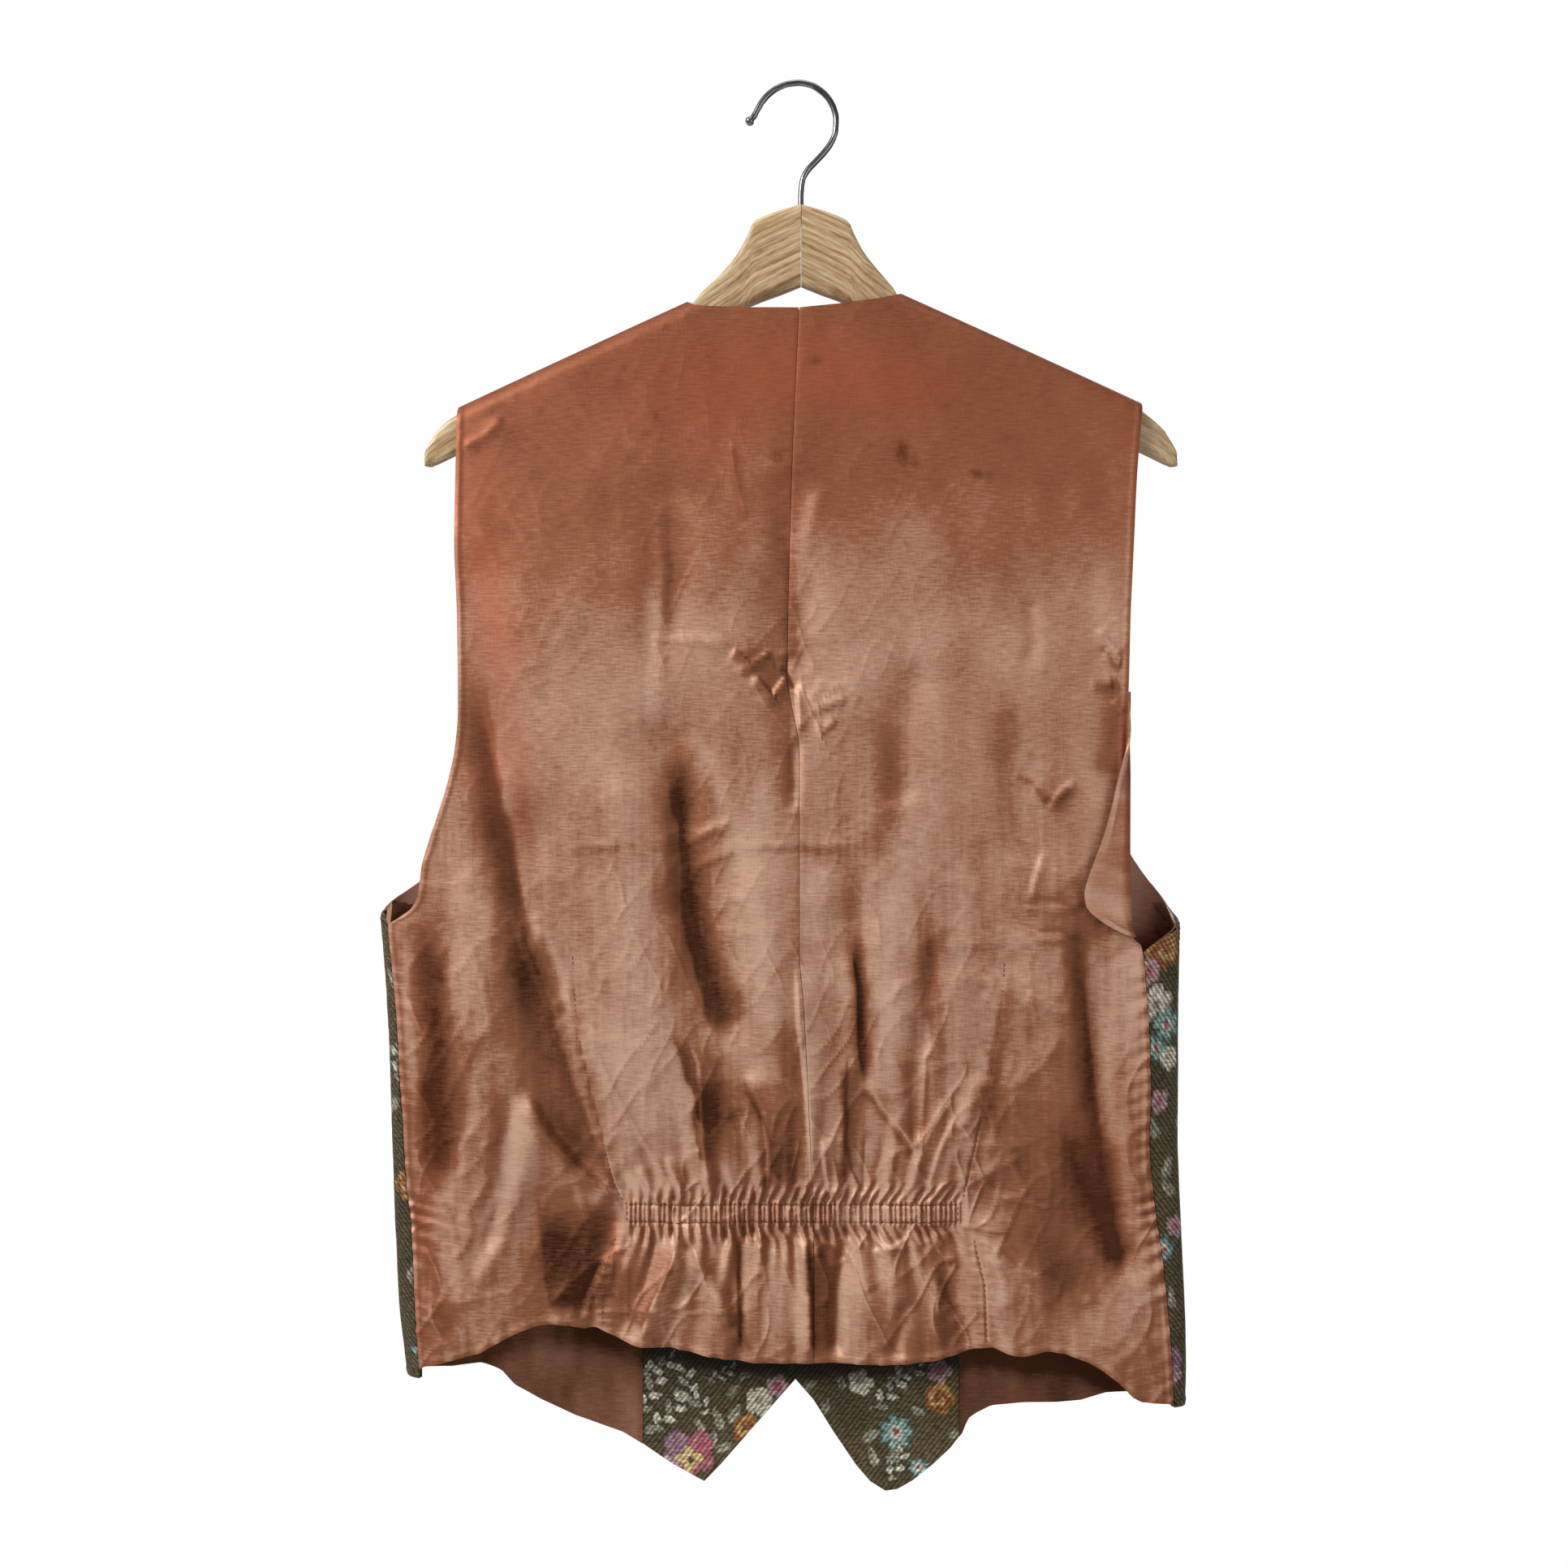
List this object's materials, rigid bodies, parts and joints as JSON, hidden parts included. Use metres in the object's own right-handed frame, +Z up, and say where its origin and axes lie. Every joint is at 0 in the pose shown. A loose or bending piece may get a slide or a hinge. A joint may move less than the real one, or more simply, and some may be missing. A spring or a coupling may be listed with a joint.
{
  "type": "waistcoat on a clothes hanger",
  "caption": "Buttoned waistcoat with floral tapestry fronts and a satin back drawn in by an elastic band, hung on a wooden clothes hanger with a wire hook.",
  "frame": {"origin": "inside top of the hook, where a rail carries it", "axes": "+Z up, +Y towards the front of the garment, +X the wearer's right; the picture looks along +Y at the back"},
  "size_m": [0.4692, 0.0586, 0.8295],
  "materials": {
    "satin": "satin lining cloth with a soft sheen",
    "tapestry": "matt figured twill",
    "lining": "plain lining cloth, slight sheen",
    "oak": "thin clear varnish",
    "steel": "plated wire",
    "button": "polished"
  },
  "bodies": {
    "root": {"back_left": "satin", "back_right": "satin", "front_left": "tapestry", "front_right": "tapestry", "facing_left": "tapestry", "facing_right": "tapestry", "lining_left": "lining", "lining_right": "lining", "hanger_left": "oak", "hanger_right": "oak", "hook": "steel", "button_1": "button", "button_2": "button", "button_3": "button", "button_4": "button", "button_5": "button"}
  },
  "joints": []
}
